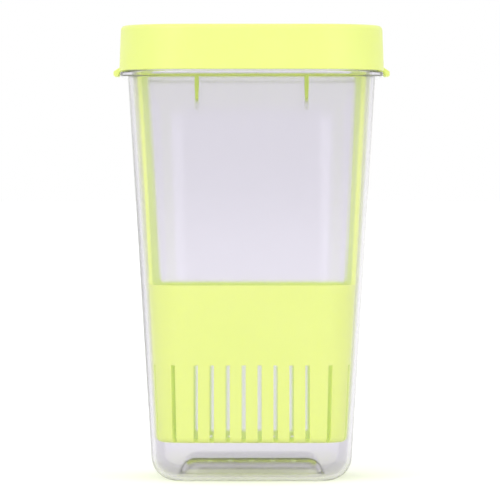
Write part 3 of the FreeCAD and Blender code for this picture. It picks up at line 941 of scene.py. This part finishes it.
class HERBKEEPER_OT_studio(bpy.types.Operator):
    """Sets up the pale floor, the soft lights and the camera"""

    bl_idname = "herb_keeper.studio"
    bl_label = "Studio"

    def execute(self, context):
        studio = context.scene.keeper_studio
        context.scene.view_settings.view_transform = "Standard"
        self.floor()
        self.sky(context.scene, studio)
        self.lamp("key", (-0.9, -1.5, 1.1), studio.key)
        self.lamp("fill", (1.2, -1.3, 0.7), studio.fill)
        self.lamp("top", (0.0, 0.3, 1.5), studio.top)
        self.camera(context.scene, studio)
        return {"FINISHED"}

    def floor(self):
        bm = bmesh.new()
        bmesh.ops.create_grid(bm, x_segments=1, y_segments=1, size=FLOOR_HALF)
        piece = as_object(bm, "pale_floor")
        material, tree = new_material("matt_white_paper")
        paper = add_node(
            tree,
            "ShaderNodeBsdfDiffuse",
            {"Color": linear("#F2F2F2")},
        )
        lift = add_node(
            tree,
            "ShaderNodeEmission",
            {"Color": linear("#FFFFFF"), "Strength": 0.2},
        )
        both = add_node(tree, "ShaderNodeAddShader")
        tree.links.new(paper.outputs[0], both.inputs[0])
        tree.links.new(lift.outputs[0], both.inputs[1])
        seen = add_node(tree, "ShaderNodeMixShader", {"Fac": to_eye(tree)})
        tree.links.new(paper.outputs[0], seen.inputs[1])
        tree.links.new(both.outputs[0], seen.inputs[2])
        add_node(tree, "ShaderNodeOutputMaterial", {"Surface": seen.outputs[0]})
        piece.data.materials.append(material)

    def sky(self, scene, studio):
        world = bpy.data.worlds.new("even_white")
        world.use_nodes = True
        tree = world.node_tree
        tree.nodes.clear()
        strength = add_node(
            tree,
            "ShaderNodeMapRange",
            {"Value": to_eye(tree), "To Min": studio.sky, "To Max": 1.0},
        )
        light = add_node(
            tree,
            "ShaderNodeBackground",
            {"Color": linear("#FFFFFF"), "Strength": strength.outputs["Result"]},
        )
        add_node(tree, "ShaderNodeOutputWorld", {"Surface": light.outputs[0]})
        scene.world = world

    def lamp(self, name, place, strength):
        """A far, broad light, so that the floor is as bright far away as it is close by."""
        light = bpy.data.lights.new(name, "SUN")
        light.angle = LIGHT_SPREAD
        light.energy = strength
        lamp = bpy.data.objects.new(name, light)
        bpy.context.scene.collection.objects.link(lamp)
        lamp.location = place
        aim = Vector((0, 0, LIGHT_AIM)) - Vector(place)
        lamp.rotation_euler = aim.to_track_quat("-Z", "Y").to_euler()

    def camera(self, scene, studio):
        data = bpy.data.cameras.new("camera")
        data.sensor_fit = "HORIZONTAL"
        data.sensor_width = 36.0
        place = Vector((-studio.aim_side, -studio.camera_distance, studio.eye_level))
        target = Vector((-studio.aim_side, 0, studio.aim_level))
        reach = (target - place).length
        data.lens = data.sensor_width * reach / studio.view_width
        data.clip_end = 100.0
        camera = bpy.data.objects.new("camera", data)
        scene.collection.objects.link(camera)
        camera.location = place
        camera.rotation_euler = (target - place).to_track_quat("-Z", "Y").to_euler()
        scene.camera = camera


class HERBKEEPER_PT_sidebar(bpy.types.Panel):
    """Lists the pieces of the herb keeper and their sizes"""

    bl_idname = "HERBKEEPER_PT_sidebar"
    bl_label = "Herb Keeper"
    bl_space_type = "VIEW_3D"
    bl_region_type = "UI"
    bl_category = "Herb Keeper"

    def draw(self, context):
        for operator in OPERATORS:
            self.layout.operator(operator.bl_idname)
        for attribute, group in SETTINGS.items():
            column = self.layout.column(align=True)
            column.label(text=group.__doc__)
            for name in group.__annotations__:
                column.prop(getattr(context.scene, attribute), name)


SETTINGS = {
    "keeper_form": KeeperForm,
    "keeper_container": KeeperContainer,
    "keeper_basket": KeeperBasket,
    "keeper_lid": KeeperLid,
    "keeper_finish": KeeperFinish,
    "keeper_studio": KeeperStudio,
}
OPERATORS = (
    HERBKEEPER_OT_container,
    HERBKEEPER_OT_basket,
    HERBKEEPER_OT_lid,
    HERBKEEPER_OT_seal,
    HERBKEEPER_OT_studio,
)


def register():
    for kind in (*SETTINGS.values(), *OPERATORS, HERBKEEPER_PT_sidebar):
        bpy.utils.register_class(kind)
    for attribute, group in SETTINGS.items():
        setattr(bpy.types.Scene, attribute, PointerProperty(type=group))


def unregister():
    for attribute in SETTINGS:
        delattr(bpy.types.Scene, attribute)
    for kind in (HERBKEEPER_PT_sidebar, *reversed(OPERATORS), *SETTINGS.values()):
        bpy.utils.unregister_class(kind)


def main():
    register()
    bpy.ops.herb_keeper.container()
    bpy.ops.herb_keeper.basket()
    bpy.ops.herb_keeper.lid()
    bpy.ops.herb_keeper.seal()
    bpy.ops.herb_keeper.studio()


if __name__ == "__main__":
    main()
